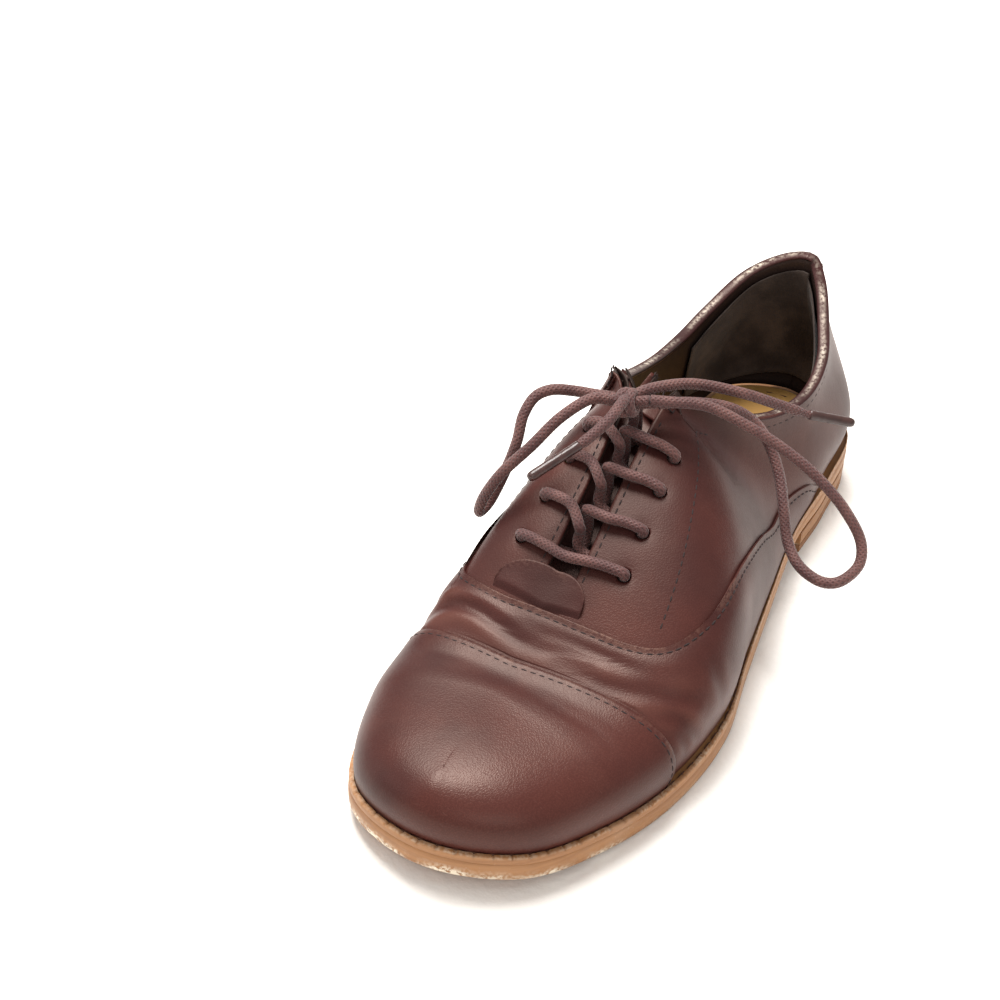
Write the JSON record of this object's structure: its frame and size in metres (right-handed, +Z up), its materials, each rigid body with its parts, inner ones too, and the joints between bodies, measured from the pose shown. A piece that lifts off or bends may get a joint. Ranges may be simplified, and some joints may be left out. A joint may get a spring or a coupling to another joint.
{
  "type": "leather oxford shoe",
  "caption": "Left cap-toe oxford shoe in burgundy leather with a low tan rubber sole, tied laces and a forefoot that flexes at the ball.",
  "frame": {"origin": "on the ground under the centre of the shoe's bounding box", "axes": "+X to the wearer's outer side, -Y to the toe, +Z up"},
  "size_m": [0.1142, 0.2657, 0.0853],
  "materials": {
    "oxblood_leather": "smooth full-grain, semi-matte polish",
    "dark_leather": "smooth, darker folded edges and tab",
    "lining": "brushed brown lining",
    "suede": "napped suede heel grip",
    "ochre_leather": "smooth sock leather",
    "tan_rubber": "moulded, matte",
    "board": "pressed fibre board",
    "cork": "ground cork",
    "stiffener": "resin-stiffened felt",
    "steel": "sprung strip",
    "lace_cotton": "round waxed braid",
    "aglet_film": "clear acetate film over the braid"
  },
  "bodies": {
    "root": {"outsole": "tan_rubber", "heel_block": "tan_rubber", "heel_top_lift": "tan_rubber", "welt": "tan_rubber", "cork_filler": "cork", "shank": "steel", "insole_board": "board", "sock_liner": "ochre_leather", "vamp": "oxblood_leather", "vamp_lining": "lining", "quarter_lateral": "oxblood_leather", "quarter_medial": "oxblood_leather", "quarter_lining_lateral": "lining", "quarter_lining_medial": "lining", "heel_counter": "stiffener", "heel_grip": "suede", "back_strip": "oxblood_leather", "topline_binding": "dark_leather", "throat_tab": "dark_leather", "tongue": "oxblood_leather", "tongue_lining": "lining", "lace": "lace_cotton", "lace_knot": "lace_cotton", "lace_loop_lateral": "lace_cotton", "lace_loop_medial": "lace_cotton", "lace_tail_lateral": "lace_cotton", "lace_tail_medial": "lace_cotton", "aglet_lateral": "aglet_film", "aglet_medial": "aglet_film"},
    "forefoot": {"toe_cap": "oxblood_leather", "toe_puff": "stiffener"}
  },
  "joints": [
    {"name": "ball_flex", "type": "hinge", "parent": "root", "child": "forefoot", "pos_m": [0, -0.0612, 0.005], "axis": [-1, 0, 0], "range_deg": [0, 27], "stiffness_Nm_per_rad": 1, "deforming": ["outsole", "welt", "insole_board", "sock_liner", "cork_filler", "vamp", "vamp_lining"]}
  ]
}
